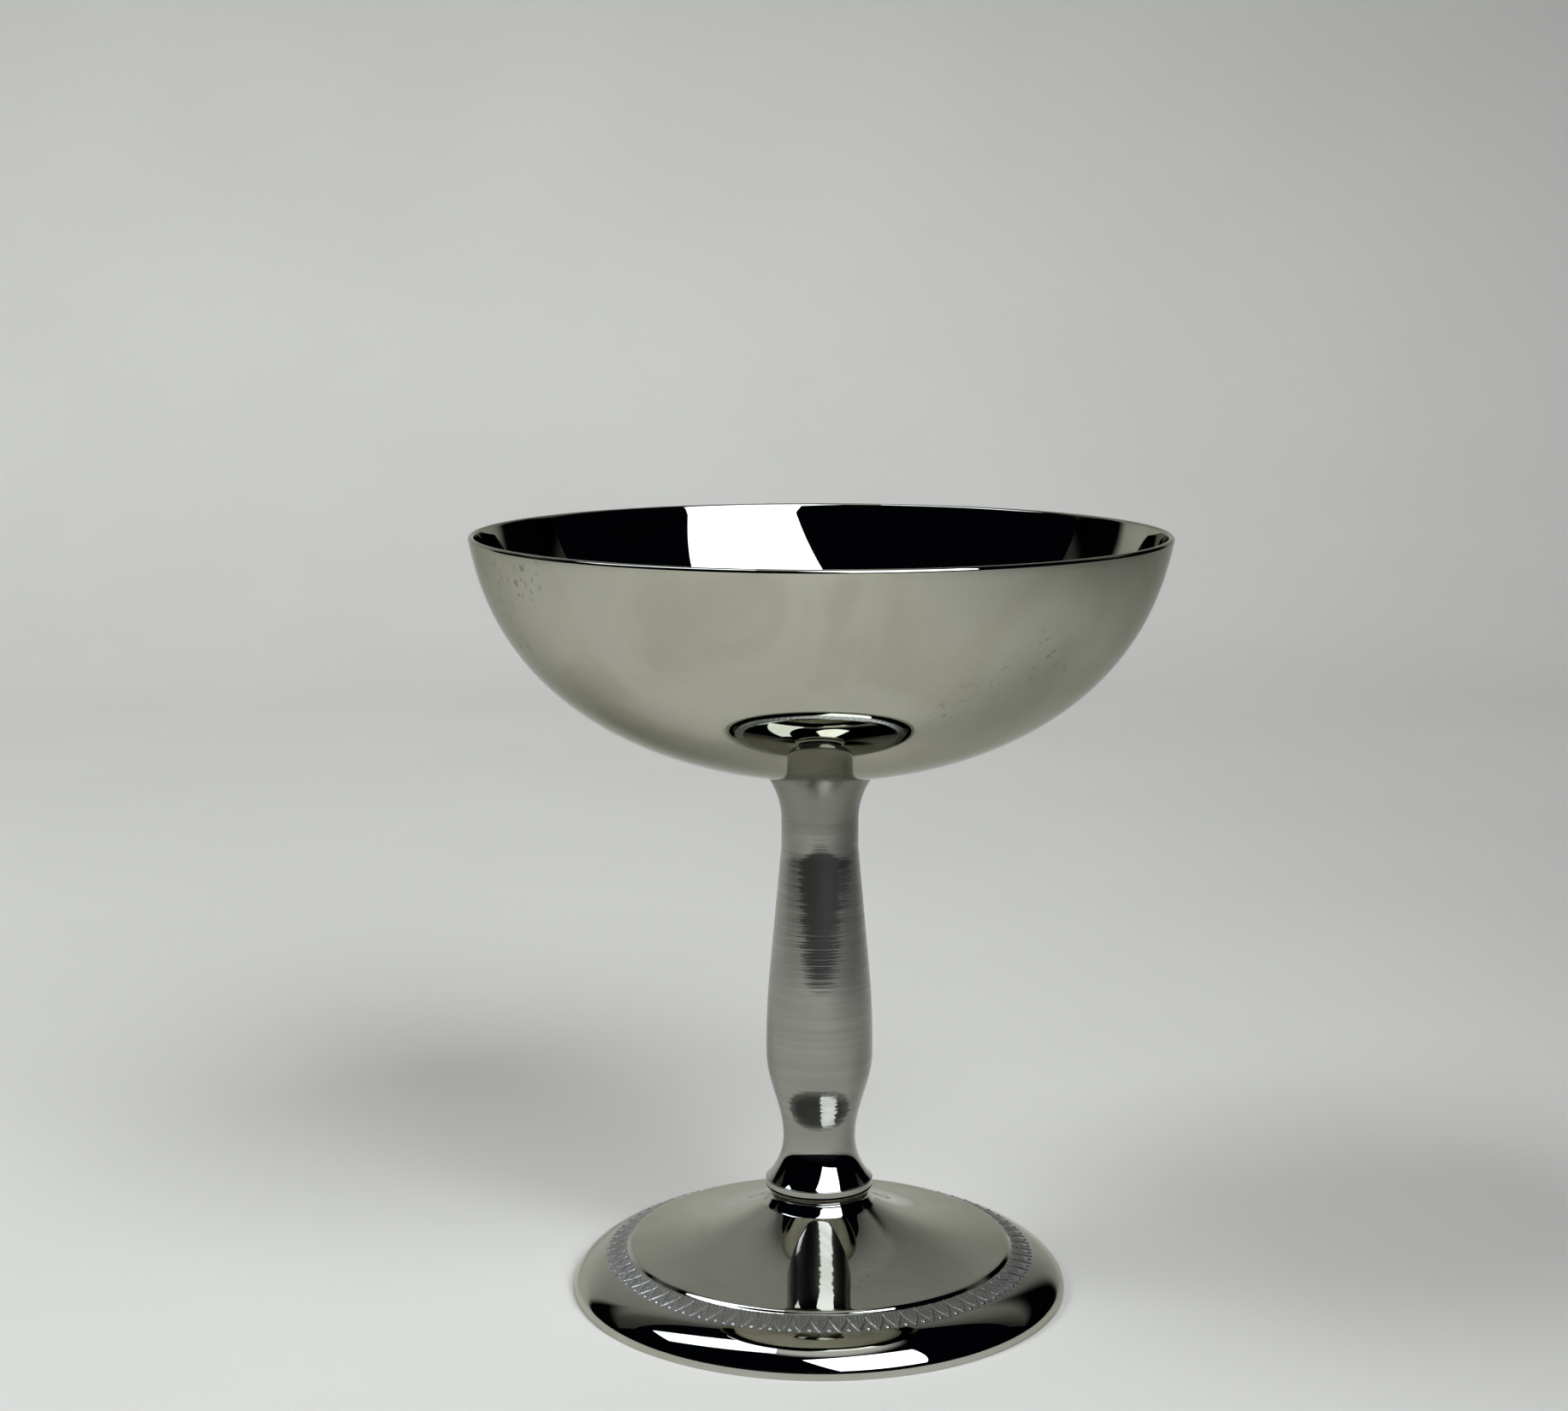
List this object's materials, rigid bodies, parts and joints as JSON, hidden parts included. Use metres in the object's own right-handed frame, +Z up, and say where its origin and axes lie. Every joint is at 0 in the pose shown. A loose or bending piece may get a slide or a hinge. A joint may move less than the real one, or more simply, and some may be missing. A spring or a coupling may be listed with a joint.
{
  "type": "communion chalice",
  "caption": "Low footed cup of polished steel: a wide shallow cup on a turned baluster stem and a pressed round foot with a stamped leaf border, clamped together by a rod and nut.",
  "frame": {"origin": "centre of the foot's resting ring, on the table", "axes": "+Z up along the axis of the stem and cup; the cup is round, so +X and +Y may point anywhere"},
  "size_m": [0.1, 0.1, 0.112],
  "materials": {
    "cup_mirror_steel": "mirror polished stainless steel with faint smudges",
    "stem_turned_steel": "satin, fine turning lines round the stem, polished on the bell",
    "foot_mirror_steel": "mirror polished stainless steel, matte ground in the leaf border",
    "rod_steel": "plain rolled thread",
    "washer_steel": "tumbled",
    "spring_steel": "plain spring steel",
    "nut_steel": "tumbled"
  },
  "bodies": {
    "root": {"cup_bowl": "cup_mirror_steel", "stem": "stem_turned_steel", "foot": "foot_mirror_steel", "tie_rod": "rod_steel", "plain_washer": "washer_steel", "spring_washer": "spring_steel", "foot_nut": "nut_steel"}
  },
  "joints": []
}
